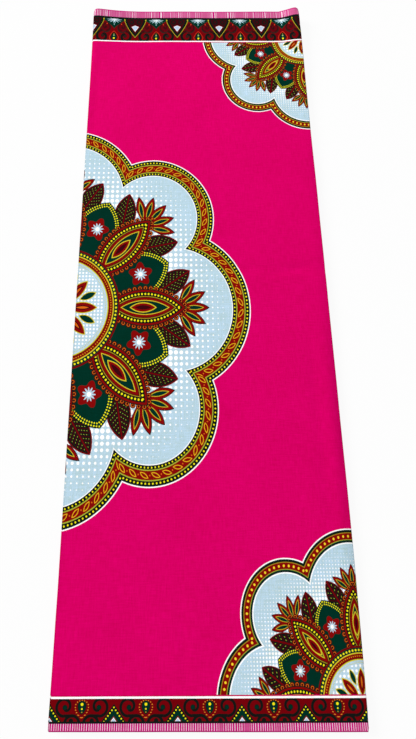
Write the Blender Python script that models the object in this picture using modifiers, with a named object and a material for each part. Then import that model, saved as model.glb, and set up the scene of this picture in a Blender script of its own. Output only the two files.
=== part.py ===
"""A six-yard length of printed cotton, folded to and fro into a long flat pile and laid on a table.

Metres, +Z up. The origin is under the middle of the pile, on the surface it lies on. The folds run along
Y, from the near selvedge to the far one. The crisp fold is on the left, at -X, and the soft one on the
right. The top panel with its two folds, the plies hidden under it and the bottom panel are three solids.
"""

import math

import bmesh
import bpy

# Driving dimensions
CLOTH_WIDTH = 1.168         # selvedge to selvedge: a 46 inch cloth, and the length of the pile
PANEL_WIDTH = 0.385         # fold to fold at the ends of the pile
PILE_HEIGHT = 0.0113        # fourteen plies with the air between them
WALL = 0.00105              # the top and bottom panels, as walls
GAP = 0.0003                # between neighbouring solids
FOLD_RADIUS = 0.0013        # outside of the top panel's folds
FOLD_TAIL = 0.006           # how far the cloth is seen to turn back under a fold
HIDDEN_PLIES = 11           # between the top fold and the bottom panel
FOLD_DIMPLE = 0.0009        # how far the groove between two folds lies in
FOLD_CREST = 0.0001
BLOCK_CLEARANCE = 0.0008    # between a fold's tail and the plies beside it
BOTTOM_ROUND = 0.0004       # edge rounding of the bottom panel

# How far the right-hand fold bows out of a straight line, by distance from the near selvedge
RIGHT_BOW = {
    "from_near": (0.000, 0.004, 0.030, 0.080, 0.140, 0.215, 0.290, 0.420, 0.580, 0.750, 0.900,
                  1.040, 1.100, 1.140, 1.168),
    "out":       (.0004, .0012, .0020, .0030, .0036, .0042, .0042, .0038, .0029, .0020, .0009,
                  .0002, -.0006, -.0018, -.0030),
}

# How far the left-hand fold flares out at the near end
LEFT_FLARE = {
    "from_near": (0.000, 0.004, 0.012, 0.036, 0.075, 0.110, 0.170, 1.168),
    "out":       (.0008, .0011, .0012, .0009, .0006, .0004, .0000, .0000),
}
FLARE_REACH = 0.080         # how far in from the fold the cloth moves with it

# Far corners that curl up: side, height, reach along the selvedge, reach along the fold, and how far the
# curl rolls over again at the fold itself
CORNER_CURLS = (
    {"side": "left", "height": 0.0080, "across": 0.100, "along": 0.180, "sharpness": 2.0, "roll": 0.0022},
    {"side": "right", "height": 0.0120, "across": 0.036, "along": 0.220, "sharpness": 1.15, "roll": 0.0032},
)
ROLL_REACH = 0.012

# The soft fold's shoulder sinks where the pile is loosest
SHOULDER_SINK = {
    "from_near": (0.000, 0.060, 0.160, 0.270, 0.370, 0.450, 0.540, 0.680, 0.850, 1.168),
    "depth":     (.0003, .0010, .0016, .0021, .0026, .0022, .0014, .0010, .0005, .0002),
}
SHOULDER_REACH = 0.017

# The pile was once folded in half, and kept a crease across it
HALF_CREASE_FROM_NEAR = 0.6245
HALF_CREASE_HALF_WIDTH = 0.010
HALF_CREASE_DEPTH = 0.0007

# Hidden plies from the bottom up: how far each lies in from the pile's outline, in metres
PLIES = {
    "left":  (.0006, .0002, .0003, .0011, .0010, .0004, .0004, .0013, .0012, .0006, .0006),
    "right": (.0010, .0004, .0004, .0014, .0013, .0003, .0003, .0009, .0010, .0002, .0003),
    "near":  (.0022, .0009, .0016, .0031, .0012, .0006, .0026, .0014, .0035, .0010, .0020),
    "far":   (.0012, .0030, .0018, .0008, .0024, .0036, .0010, .0028, .0014, .0022, .0009),
}

# Where the sections are cut: shares of the cloth's width along Y and of the panel's width along X
ALONG = (0, .0035, .012, .03, .065, .11, .16, .22, .29, .36, .43, .49, .518, .527, .5347, .543, .552,
         .58, .64, .70, .76, .82, .87, .905, .935, .96, .98, 1)
ACROSS = (0, .010, .0225, .036, .055, .08, .12, .18, .25, .38, .5, .62, .75, .85, .885,
          .9065, .916, .930, .945, .961, .977, .99, 1)
ARC_STEPS = 6

# Heights of the joints between the solids
UNDER_TOP = PILE_HEIGHT - WALL - GAP
UNDER_FOLDS = PILE_HEIGHT - 2 * FOLD_RADIUS - GAP
OVER_BOTTOM = WALL + GAP

LEFT_X = (max(LEFT_FLARE["out"]) - PANEL_WIDTH - max(RIGHT_BOW["out"])) / 2
NEAR_Y = -CLOTH_WIDTH / 2


def blend(table, column, distance):
    """Read a column of a table at a distance from the near selvedge, easing from row to row."""
    stops = table["from_near"]
    values = table[column]
    if distance <= stops[0]:
        return values[0]
    for row in range(1, len(stops)):
        if distance <= stops[row]:
            share = (distance - stops[row - 1]) / (stops[row] - stops[row - 1])
            ease = share * share * (3 - 2 * share)
            return values[row - 1] + (values[row] - values[row - 1]) * ease
    return values[-1]


def right_x(y):
    """The right-hand fold's place, bowed."""
    return LEFT_X + PANEL_WIDTH + blend(RIGHT_BOW, "out", y - NEAR_Y)


def fade(distance, reach, power):
    """1 at the edge, falling to 0 at the reach."""
    return max(0.0, 1.0 - distance / reach) ** power


def relief(x, y):
    """How much the top of the pile rises or sinks from its flat height."""
    from_left = x - LEFT_X
    from_right = right_x(y) - x
    from_far = NEAR_Y + CLOTH_WIDTH - y
    height = 0.0
    for curl in CORNER_CURLS:
        from_side = from_left if curl["side"] == "left" else from_right
        rise = curl["height"] * fade(max(from_side, 0.0), curl["across"], curl["sharpness"])
        rise -= curl["roll"] * fade(max(from_side, 0.0), ROLL_REACH, 1.6)
        height += rise * fade(from_far, curl["along"], 2.0)
    sink = blend(SHOULDER_SINK, "depth", y - NEAR_Y)
    height -= sink * fade(max(from_right, 0.0), SHOULDER_REACH, 2.1)
    off_crease = (y - NEAR_Y - HALF_CREASE_FROM_NEAR) / HALF_CREASE_HALF_WIDTH
    height -= HALF_CREASE_DEPTH * math.exp(-off_crease * off_crease)
    return height


def lifted(x, y, z):
    """A point of the pile, with its share of the relief: none at the bottom, all of it under the folds."""
    share = (z - OVER_BOTTOM) / (UNDER_FOLDS - OVER_BOTTOM)
    flare = blend(LEFT_FLARE, "out", y - NEAR_Y) * fade(max(x - LEFT_X, 0.0), FLARE_REACH, 1.0)
    return (x - flare, y, z + relief(x, y) * min(1.0, max(0.0, share)))


def fold_section():
    """The top panel's outer line from tail to tail: (side, distance in from that side's fold, height)."""
    low = PILE_HEIGHT - 2 * FOLD_RADIUS
    left = [("left", FOLD_TAIL, low)]
    for step in range(ARC_STEPS + 1):
        turn = math.pi * step / ARC_STEPS
        inward = FOLD_RADIUS * (1 - math.sin(turn))
        left.append(("left", inward, PILE_HEIGHT - FOLD_RADIUS * (1 + math.cos(turn))))
    right = [("right", inward, height) for _, inward, height in reversed(left)]
    return left, right


def new_object(name, mesh_builder, colour, roughness):
    """Make an object from a bmesh, with its own material, in the pile's collection."""
    mesh = bpy.data.meshes.new(name)
    mesh_builder.to_mesh(mesh)
    mesh_builder.free()
    mesh.shade_smooth()
    mesh.set_sharp_from_angle(angle=math.radians(50))
    material = bpy.data.materials.new(name + "_cotton")
    material.use_nodes = True
    shader = material.node_tree.nodes["Principled BSDF"]
    shader.inputs["Base Color"].default_value = (*colour, 1.0)
    shader.inputs["Roughness"].default_value = roughness
    shader.inputs["Metallic"].default_value = 0.0
    mesh.materials.append(material)
    result = bpy.data.objects.new(name, mesh)
    pile.objects.link(result)
    return result


def grid(columns, rows):
    """A bmesh grid and its vertices by column and row."""
    builder = bmesh.new()
    made = bmesh.ops.create_grid(builder, x_segments=columns - 1, y_segments=rows - 1, size=1.0)
    ordered = sorted(made["verts"], key=lambda vert: (round(vert.co.x, 6), round(vert.co.y, 6)))
    return builder, [ordered[column * rows:(column + 1) * rows] for column in range(columns)]


def make_top_panel():
    """The panel that shows, with both folds and the tails that turn back under them, as a wall."""
    left, right = fold_section()
    section = list(left)
    for share in ACROSS[1:-1]:
        section.append((share, 0.0, PILE_HEIGHT))
    section += right
    builder, columns = grid(len(section), len(ALONG))
    for column, (side, inward, height) in zip(columns, section):
        for vert, along in zip(column, ALONG):
            y = NEAR_Y + CLOTH_WIDTH * along
            if side == "left":
                x = LEFT_X + inward
            elif side == "right":
                x = right_x(y) - inward
            else:
                x = LEFT_X + (right_x(y) - LEFT_X) * side
            vert.co = lifted(x, y, height)
    bmesh.ops.recalc_face_normals(builder, faces=builder.faces)
    middle = columns[len(columns) // 2][len(ALONG) // 2]
    if middle.normal.z < 0:
        bmesh.ops.reverse_faces(builder, faces=builder.faces)
    panel = new_object("top_panel", builder, (0.69, 0.002, 0.125), 0.78)
    wall = panel.modifiers.new("Cloth wall", "SOLIDIFY")
    wall.thickness = WALL
    wall.offset = -1.0
    wall.use_even_offset = True


def ring_point(u, t, ring):
    """A point of the pile's outline or inside it, at a ring's height and insets."""
    y_near = NEAR_Y + ring["near"]
    y = y_near + (CLOTH_WIDTH - ring["near"] - ring["far"]) * t
    x_left = LEFT_X + ring["left"]
    x = x_left + (right_x(y) - ring["right"] - x_left) * u
    return lifted(x, y, ring["height"])


def stack_rings(name, rings, colour, roughness):
    """A solid from a gridded top and rings below it, closed flat underneath.

    The stations lie under those of the top panel, so that the two surfaces run parallel.
    """
    inset = rings[0]["left"] / PANEL_WIDTH
    inner = [share for share in ACROSS if inset + 0.004 < share < 1 - inset - 0.004]
    across = [0.0] + [(share - inset) / (1 - 2 * inset) for share in inner] + [1.0]
    builder, columns = grid(len(across), len(ALONG))
    place = {}
    for column, u in zip(columns, across):
        for vert, t in zip(column, ALONG):
            place[vert] = (u, t)
            vert.co = ring_point(u, t, rings[0])
    rim = [edge for edge in builder.edges if edge.is_boundary]
    for ring in rings[1:]:
        before = {vert for edge in rim for vert in edge.verts}
        made = bmesh.ops.extrude_edge_only(builder, edges=rim)["geom"]
        rim = [item for item in made if isinstance(item, bmesh.types.BMEdge)]
        after = {vert for edge in rim for vert in edge.verts}
        for vert in after:
            upper = next(e.other_vert(vert) for e in vert.link_edges if e.other_vert(vert) in before)
            place[vert] = place[upper]
        for vert in after:
            vert.co = ring_point(*place[vert], ring)
    bmesh.ops.contextual_create(builder, geom=rim)
    bmesh.ops.recalc_face_normals(builder, faces=builder.faces)
    return new_object(name, builder, colour, roughness)


def make_folded_layers():
    """The plies between the top fold and the bottom panel: one solid with a fold for every two plies."""
    ply = (UNDER_FOLDS - OVER_BOTTOM) / HIDDEN_PLIES
    skin = 0.00012          # the open seam between two plies, as a step in the rings
    side = FOLD_TAIL + BLOCK_CLEARANCE
    block = {"left": side, "right": side}
    rings = [
        {"height": UNDER_TOP, "near": 0.0017, "far": 0.0015, **block},
        {"height": UNDER_TOP - ply, "near": 0.0011, "far": 0.0009, **block},
        {"height": UNDER_FOLDS, "near": 0.0014, "far": 0.0012, **block},
    ]
    for number in reversed(range(HIDDEN_PLIES)):
        low_groove = number % 2 == 1
        for top in (True, False):
            at_left_groove = top != low_groove
            at_right_groove = top == low_groove
            rings.append({
                "height": OVER_BOTTOM + ply * (number + (1 if top else 0)) - (skin if top else 0),
                "left": PLIES["left"][number] + (FOLD_DIMPLE if at_left_groove else FOLD_CREST),
                "right": PLIES["right"][number] + (FOLD_DIMPLE if at_right_groove else FOLD_CREST),
                "near": PLIES["near"][number],
                "far": PLIES["far"][number],
            })
    stack_rings("folded_layers", rings, (0.42, 0.006, 0.075), 0.82)


def make_bottom_panel():
    """The last panel, flat on the table, a wall with rounded edges."""
    rings = [
        {"height": WALL, "left": 0.0024, "right": 0.0011, "near": 0.0012, "far": 0.0020},
        {"height": WALL / 2, "left": 0.0020, "right": 0.0007, "near": 0.0008, "far": 0.0016},
        {"height": 0.0, "left": 0.0024, "right": 0.0011, "near": 0.0012, "far": 0.0020},
    ]
    stack_rings("bottom_panel", rings, (0.62, 0.002, 0.11), 0.8)


for old in list(bpy.data.objects):
    bpy.data.objects.remove(old)
pile = bpy.data.collections.new("ankara_fabric")
bpy.context.scene.collection.children.link(pile)
make_top_panel()
make_folded_layers()
make_bottom_panel()
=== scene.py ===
# %% [markdown]
# # A folded length of ankara
#
# Six yards of wax-print cotton lie on a table, folded to and fro into a long flat pile. This file dresses
# the packed model of that pile: it lays thin cloth on the solids' form, prints it with node maths, and
# lights it softly. Each step says what the real thing is, how it could be made, and why this way was
# chosen.

# %% Load the packed model
import math

import bmesh
import bpy
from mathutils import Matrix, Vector


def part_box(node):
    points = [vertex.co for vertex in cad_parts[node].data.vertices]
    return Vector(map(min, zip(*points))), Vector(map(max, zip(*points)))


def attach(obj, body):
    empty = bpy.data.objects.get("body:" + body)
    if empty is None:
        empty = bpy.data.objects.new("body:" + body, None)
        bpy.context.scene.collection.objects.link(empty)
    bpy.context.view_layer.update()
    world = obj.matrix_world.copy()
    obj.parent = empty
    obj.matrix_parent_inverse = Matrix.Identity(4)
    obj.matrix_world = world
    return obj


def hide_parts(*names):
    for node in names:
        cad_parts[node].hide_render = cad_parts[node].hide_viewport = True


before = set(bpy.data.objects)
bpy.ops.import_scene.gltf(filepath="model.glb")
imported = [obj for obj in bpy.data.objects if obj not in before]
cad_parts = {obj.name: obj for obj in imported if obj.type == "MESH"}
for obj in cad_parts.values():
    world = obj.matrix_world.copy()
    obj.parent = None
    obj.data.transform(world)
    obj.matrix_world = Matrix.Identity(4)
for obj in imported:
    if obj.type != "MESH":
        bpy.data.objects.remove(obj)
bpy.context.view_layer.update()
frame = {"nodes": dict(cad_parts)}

# %% [markdown]
# ## The pile's sizes
#
# The scene never measures by eye: the outline comes from the packed top panel, and the few sizes that a
# box can't tell, such as the bow of the soft fold, are the same named values that the solids were built
# from. The cloth in the scene is thinner than its solid, because real wax print is about a third of a
# millimetre thick.

# %% Sizes from the frame
panel_low, panel_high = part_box("top_panel")
NEAR_Y = -0.584
CLOTH_WIDTH = 1.168
PANEL_WIDTH = 0.385
PILE_HEIGHT = 0.0113
CLOTH = 0.0004
TOP_FOLD = 0.0026
UNDER_FOLDS = 0.0084
OVER_BOTTOM = 0.00135
PLIES = 14
MM = 0.001
print("top panel", [round(h - l, 4) for l, h in zip(panel_low, panel_high)])

# %% Tables of the large folds
RIGHT_BOW = {
    "from_near": (0.000, 0.004, 0.030, 0.080, 0.140, 0.215, 0.290, 0.420, 0.580, 0.750, 0.900,
                  1.040, 1.100, 1.140, 1.168),
    "out":       (.0004, .0012, .0020, .0030, .0036, .0042, .0042, .0038, .0029, .0020, .0009,
                  .0002, -.0006, -.0018, -.0030),
}
LEFT_FLARE = {
    "from_near": (0.000, 0.004, 0.012, 0.036, 0.075, 0.110, 0.170, 1.168),
    "out":       (.0008, .0011, .0012, .0009, .0006, .0004, .0000, .0000),
}
FLARE_REACH = 0.080
LEFT_X = panel_low[0] + max(LEFT_FLARE["out"])
CORNER_CURLS = (
    {"side": "left", "height": 0.0080, "across": 0.100, "along": 0.180, "sharpness": 2.0, "roll": 0.0022},
    {"side": "right", "height": 0.0120, "across": 0.036, "along": 0.220, "sharpness": 1.15, "roll": 0.0032},
)
ROLL_REACH = 0.012
ROLL_POWER = 1.6
CURL_POWER = 2.0
CORNER_ROUND = 0.006
CORNER_LENGTH = 1.6 * CORNER_ROUND
CORNER_POWER = 1.6
CORNER_SHIFT = {"across": 0.0005, "along": 0.0030, "down": 0.0014}
SHOULDER_SINK = {
    "from_near": (0.000, 0.060, 0.160, 0.270, 0.370, 0.450, 0.540, 0.680, 0.850, 1.168),
    "depth":     (.0003, .0010, .0016, .0021, .0026, .0022, .0014, .0010, .0005, .0002),
}
SHOULDER_REACH = 0.017
SHOULDER_POWER = 2.1
HALF_CREASE = {"from_near": 0.6245, "half_width": 0.010, "depth": 0.0007}
print("the soft fold bows out", max(RIGHT_BOW["out"]) / MM, "mm")

# %% [markdown]
# ## The form of the pile
#
# A folded cloth is nearly a slab, and what makes it read as cloth is what departs from one: two corners
# that curl, a shoulder that sinks, a crease where the pack was once folded in half. A sculpted mesh could
# hold these, but a height that is a sum of named rises and troughs stays easy to change, and every ply can
# share it.

# %% Heights over the pile
def blend(table, column, distance):
    """Read a table at a distance from the near selvedge, easing from row to row."""
    stops = table["from_near"]
    values = table[column]
    for row in range(1, len(stops)):
        if distance <= stops[row]:
            share = max(0.0, (distance - stops[row - 1]) / (stops[row] - stops[row - 1]))
            return values[row - 1] + (values[row] - values[row - 1]) * share * share * (3 - 2 * share)
    return values[-1]


def right_x(y):
    """Where the soft fold on the right lies."""
    return LEFT_X + PANEL_WIDTH + blend(RIGHT_BOW, "out", y - NEAR_Y)


def fade(distance, reach, power):
    """1 at an edge, falling to 0 at the reach."""
    return max(0.0, 1.0 - max(distance, 0.0) / reach) ** power


def ease(value, low, high):
    """0 below low, 1 above high, smooth between."""
    share = min(1.0, max(0.0, (value - low) / (high - low)))
    return share * share * (3 - 2 * share)


def relief(x, y):
    """How far the top of the pile rises or sinks from its flat height."""
    from_left = x - LEFT_X
    from_right = right_x(y) - x
    from_near = y - NEAR_Y
    height = 0.0
    for curl in CORNER_CURLS:
        from_side = from_left if curl["side"] == "left" else from_right
        rise = curl["height"] * fade(from_side, curl["across"], curl["sharpness"])
        rise -= curl["roll"] * fade(from_side, ROLL_REACH, ROLL_POWER)
        height += rise * fade(CLOTH_WIDTH - from_near, curl["along"], CURL_POWER)
    height -= blend(SHOULDER_SINK, "depth", from_near) * fade(from_right, SHOULDER_REACH, SHOULDER_POWER)
    off_crease = (from_near - HALF_CREASE["from_near"]) / HALF_CREASE["half_width"]
    return height - HALF_CREASE["depth"] * math.exp(-off_crease * off_crease)


def lifted(x, y, z):
    """A point with its share of the relief, none on the table, all of it from the top folds up, and
    with the left fold drawn out at the near end."""
    share = (z - OVER_BOTTOM) / (UNDER_FOLDS - OVER_BOTTOM)
    flare = blend(LEFT_FLARE, "out", y - NEAR_Y) * fade(x - LEFT_X, FLARE_REACH, 1.0)
    return Vector((x - flare, y, z + relief(x, y) * min(1.0, max(0.0, share))))


def rounded(x, y):
    """A place drawn in from its far corner, and how much of a corner it is."""
    by_side = fade(min(x - LEFT_X, right_x(y) - x), CORNER_ROUND, CORNER_POWER)
    corner = by_side * fade(NEAR_Y + CLOTH_WIDTH - y, CORNER_LENGTH, 1.0)
    return x - math.copysign(CORNER_SHIFT["across"] * corner, x), y - CORNER_SHIFT["along"] * corner, corner


print("far right corner rises", round(relief(right_x(0.58), 0.58) / MM, 1), "mm")

# %% [markdown]
# ## Small creases and ripples
#
# Hand-smoothed cotton keeps faint, uneven marks: long soft troughs where it was pressed, and a slow ripple
# of a tenth of a millimetre that only shows as a change of shade. A noise texture would spread them evenly,
# so the creases are placed one by one, each with its own length, depth and width.

# %% Creases one by one
CREASES = (
    {"start": (0.016, 1.085), "end": (0.011, 0.880), "depth": 0.00030, "width": 0.0045},
    {"start": (0.158, 0.150), "end": (0.166, 0.045), "depth": 0.00028, "width": 0.0050},
    {"start": (0.205, 0.935), "end": (0.228, 0.700), "depth": 0.00022, "width": 0.0070},
    {"start": (0.290, 0.610), "end": (0.385, 0.640), "depth": 0.00030, "width": 0.0060},
    {"start": (0.000, 0.655), "end": (0.120, 0.628), "depth": 0.00024, "width": 0.0070},
    {"start": (0.352, 0.520), "end": (0.363, 0.230), "depth": 0.00035, "width": 0.0080},
    {"start": (0.060, 0.215), "end": (0.230, 0.196), "depth": 0.00016, "width": 0.0080},
    {"start": (0.020, 0.420), "end": (0.140, 0.395), "depth": 0.00016, "width": 0.0060},
)
RIPPLES = (
    {"across": 0.210, "along": 0.330, "turn": 0.4, "height": 0.00016},
    {"across": 0.120, "along": -0.260, "turn": 2.1, "height": 0.00010},
    {"across": 0.075, "along": 0.140, "turn": 4.0, "height": 0.00006},
)
RUN_OUT = 0.2


def crease_depth(s, v):
    """How deep the hand-placed creases are at a place on the cloth, in metres."""
    depth = 0.0
    for crease in CREASES:
        start = Vector(crease["start"])
        run = Vector(crease["end"]) - start
        share = (Vector((s, v)) - start).dot(run) / run.length_squared
        if -RUN_OUT < share < 1 + RUN_OUT:
            off = (Vector((s, v)) - start - run * share).length / crease["width"]
            if off < 3.0:
                ends = ease(share, -RUN_OUT, 0.25) * (1 - ease(share, 0.7, 1 + RUN_OUT))
                depth += crease["depth"] * ends * math.exp(-off * off)
    return depth


def ripple(s, v):
    """The slow unevenness of cloth laid by hand."""
    return sum(
        wave["height"] * math.sin(2 * math.pi * (s / wave["across"] + v / wave["along"]) + wave["turn"])
        for wave in RIPPLES
    )


print(len(CREASES), "creases, the deepest", max(c["depth"] for c in CREASES) / MM, "mm")

# %% [markdown]
# ## How a sheet is laid
#
# A fold seen from its end is a path: in along one ply, round a hairpin, back along the next. Each sheet
# starts as a flat grid from bmesh, one column for each stop of that path and one row for each station
# along the fold. Its vertices then move to their stops, and Solidify gives the cloth its thickness. The
# print's coordinates, in metres along and across the cloth, go into a UV map, so the print bends round the
# folds.

# %% Stations and stops
FINE_STEP = 0.0052
WIDE_STEP = 0.0235
END_STATIONS = (0.0015, 0.004, 0.008)


def stations(step, *also):
    """Places along the fold, evenly spaced, with extra ones near both ends and where asked."""
    places = {round(step * n, 6) for n in range(int(CLOTH_WIDTH / step) + 1)}
    far_stations = [CLOTH_WIDTH - place for place in END_STATIONS]
    fixed = sorted({0.0, CLOTH_WIDTH, *also, *END_STATIONS, *far_stations})
    kept = [p for p in places if all(abs(p - f) > step * 0.4 for f in fixed)]
    return sorted([*kept, *fixed])


def hairpin(side, start, end, steps):
    """Stops round a fold, from the height of one ply to the height of the next."""
    radius = abs(start - end) / 2
    stops = []
    for step in range(steps + 1):
        turn = math.pi * step / steps
        inward = CLOTH / 2 + radius * (1 - math.sin(turn))
        stops.append((side, inward, (start + end) / 2 + (start - end) / 2 * math.cos(turn)))
    return stops


def stop_place(stop, from_near):
    """Where a stop lies on one row: its side, how far in from that side's fold, and its height."""
    side, inward, height = stop
    y = NEAR_Y + from_near
    if side == "left":
        x = LEFT_X + inward
    elif side == "right":
        x = right_x(y) - inward
    else:
        x = LEFT_X + (right_x(y) - LEFT_X) * inward
    if callable(height):
        height = height(x - LEFT_X, right_x(y) - x)
    return x, y, height


print("rows along a fold:", len(stations(FINE_STEP)), "or", len(stations(WIDE_STEP)))

# %% Lay a sheet
def link(name, data):
    """A new object in the scene."""
    made = bpy.data.objects.new(name, data)
    bpy.context.scene.collection.objects.link(made)
    return made


def finished(name, builder):
    """The object that a bmesh was built for."""
    mesh = bpy.data.meshes.new(name)
    builder.to_mesh(mesh)
    builder.free()
    return link(name, mesh)


def lay_sheet(name, stops, rows, place, print_at):
    """A grid laid along its stops, with the print's coordinates in metres in a UV map."""
    builder = bmesh.new()
    made = bmesh.ops.create_grid(builder, x_segments=len(stops) - 1, y_segments=len(rows) - 1, size=1.0)
    ordered = sorted(made["verts"], key=lambda vert: (round(vert.co.x, 6), round(vert.co.y, 6)))
    printed = {}
    for row, from_near in enumerate(rows):
        line = [ordered[column * len(rows) + row] for column in range(len(stops))]
        for column, vert in enumerate(line):
            vert.co = place(column, stops[column], from_near)
        for vert, spot in zip(line, print_at([vert.co for vert in line], from_near)):
            printed[vert] = spot
    print_map = builder.loops.layers.uv.new("print")
    for face in builder.faces:
        face.smooth = True
        for corner in face.loops:
            corner[print_map].uv = printed[corner.vert]
    sheet = finished(name, builder)
    wall = sheet.modifiers.new("Cloth", "SOLIDIFY")
    wall.thickness = CLOTH
    wall.offset = 0.0
    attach(sheet, "root")
    print(name, len(sheet.data.polygons), "faces")
    return sheet


print("cloth", round(CLOTH / MM, 2), "mm thick")

# %% [markdown]
# ## The plies' heights
#
# Under the weight of the pile, the plies lie closer together at the folds than the air between them
# elsewhere. A ply's height is therefore its number times a pitch that grows away from the folds. Near the
# left fold the end of the cloth is turned in under the top panel, so the plies there stay a little lower.

# %% Ply heights
FOLD_PITCH = 0.00067
OPEN_PITCH = 0.000838
TURN_IN_PITCH = 0.00079
TURN_IN = 0.100
TURN_IN_FADE = 0.05
PRESSED = 0.008
OPENED = 0.045
FOLD_TAIL = 0.006
UNDER_PANEL = 0.00075
BOTTOM = CLOTH / 2
TOP = PILE_HEIGHT - CLOTH / 2
TAIL = PILE_HEIGHT - TOP_FOLD + CLOTH / 2


def open_share(from_left, from_right):
    """How far the plies have opened out from their folded pitch."""
    by_left = (TURN_IN_PITCH - FOLD_PITCH) * ease(from_left, PRESSED, OPENED)
    by_left += (OPEN_PITCH - TURN_IN_PITCH) * ease(from_left, TURN_IN, TURN_IN + TURN_IN_FADE)
    by_right = (OPEN_PITCH - FOLD_PITCH) * ease(from_right, PRESSED, OPENED)
    return min(by_left, by_right)


def ply_height(number):
    """The height of a ply, counted up from the bottom one, as a function of the distances to the folds."""
    return lambda from_left, from_right: BOTTOM + number * (FOLD_PITCH + open_share(from_left, from_right))


def under_top(from_left, from_right):
    """The ply joined to the top panel at the right: it leaves the fold low and rises to its own height."""
    own = ply_height(PLIES - 2)(from_left, from_right)
    if from_right >= OPENED:
        return own
    return TAIL + (own - TAIL) * ease(from_right, FOLD_TAIL, OPENED)


def turned_in(from_left, from_right):
    """The end of the cloth, turned in under the top panel at the left."""
    return TAIL + (TOP - UNDER_PANEL - TAIL) * ease(from_left, FOLD_TAIL, OPENED)


print("pitch at the folds", FOLD_PITCH / MM, "mm, elsewhere", OPEN_PITCH / MM, "mm")

# %% [markdown]
# ## The top cloth
#
# This is the stretch that the photograph shows: the turned-in end, the crisp left fold, the printed panel,
# the soft right fold and the ply it turns back into. It gets the finest grid, because the curled corners,
# the shoulder and the creases must be real shapes that hold from every side.

# %% Stops of the top cloth
BORDER_ROW = 0.0361
FAR_BORDER_ROW = CLOTH_WIDTH - 0.0737
TOP_FOLD_STEPS = 12
TURNED_IN_STOPS = (0.100, 0.075, 0.050, 0.035, 0.022, 0.012, 0.006)
PANEL_STOPS = (0.010, 0.014, 0.019, *(0.024 + 0.005 * n for n in range(68)), 0.3645, 0.369, 0.373, 0.3765)
TAIL_STOPS = {
    "right": (0.006, 0.012, 0.022, 0.035, 0.050, 0.100, 0.160),
    "left": (0.160, 0.130, 0.100, 0.070, 0.045, 0.030, 0.018, 0.010),
}
crease_rows = [HALF_CREASE["from_near"] + off * 0.0025 for off in range(-7, 8)]
top_rows = stations(FINE_STEP, BORDER_ROW, FAR_BORDER_ROW, *crease_rows)
top_stops = [("left", inward, turned_in) for inward in TURNED_IN_STOPS]
top_stops += hairpin("left", TAIL, TOP, TOP_FOLD_STEPS)
left_zero = len(TURNED_IN_STOPS) + TOP_FOLD_STEPS // 2
top_stops += [("left", 0.0030, TOP), ("left", 0.0060, TOP)]
top_stops += [("mid", place / PANEL_WIDTH, TOP) for place in PANEL_STOPS]
top_stops += [("right", 0.0060, TOP), ("right", 0.0030, TOP)]
top_stops += hairpin("right", TOP, TAIL, TOP_FOLD_STEPS)
for tail_side, places in TAIL_STOPS.items():
    top_stops += [(tail_side, inward, under_top) for inward in places]
print(len(top_stops), "stops across,", len(top_rows), "rows along")

# %% Lay the top cloth
CREASE_FREE = 0.006
TUCK = {"from": 0.003, "left": 0.100, "right": 0.200, "near": 0.0013, "far": 0.0017}


def drawn_in(y, from_near, near, far):
    """A place along the fold, drawn in by one amount at the near end and another at the far end."""
    share = from_near / CLOTH_WIDTH
    return y + near * (1 - share) - far * share


def top_place(column, stop, from_near):
    """A point of the top cloth, with its creases and ripples where it shows."""
    x, y, z = stop_place(stop, from_near)
    inset = ease(min(x - LEFT_X, right_x(y) - x), 0.0, CREASE_FREE)
    x, y, corner = rounded(x, y)
    z -= CORNER_SHIFT["down"] * corner * max(0.0, (z - TAIL) / (TOP - TAIL))
    if stop[2] == TOP:
        point = lifted(x, y, z)
        point.z += (ripple(x - LEFT_X, from_near) - crease_depth(x - LEFT_X, from_near)) * inset
        return point
    hidden = x - LEFT_X if column < left_zero else right_x(y) - x
    slip = ease(hidden, TUCK["from"], TUCK["right"] if column > left_zero else TUCK["left"])
    return lifted(x, drawn_in(y, from_near, TUCK["near"] * slip, TUCK["far"] * slip), z)


def along_the_path(zero):
    """The print follows the cloth itself: distances are summed along each row from the left fold."""
    def print_at(points, from_near):
        sums = [0.0]
        for before, after in zip(points, points[1:]):
            sums.append(sums[-1] + (after - before).length)
        fold = sums[zero] + blend(LEFT_FLARE, "out", from_near)
        return [(total - fold, from_near) for total in sums]
    return print_at


top_cloth = lay_sheet("top_cloth", top_stops, top_rows, top_place, along_the_path(left_zero))
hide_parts("top_panel")

# %% [markdown]
# ## The plies under it
#
# Below the top cloth the same length of fabric runs to and fro, eleven more times. Only its folds and its
# selvedges show, as fine layers at the sides and ends, but each ply is laid in full so that the layers are
# real ones. No two were folded exactly alike: each fold and each end lies in by its own small amount, and
# a fold wanders by less than a millimetre along its length.

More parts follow.
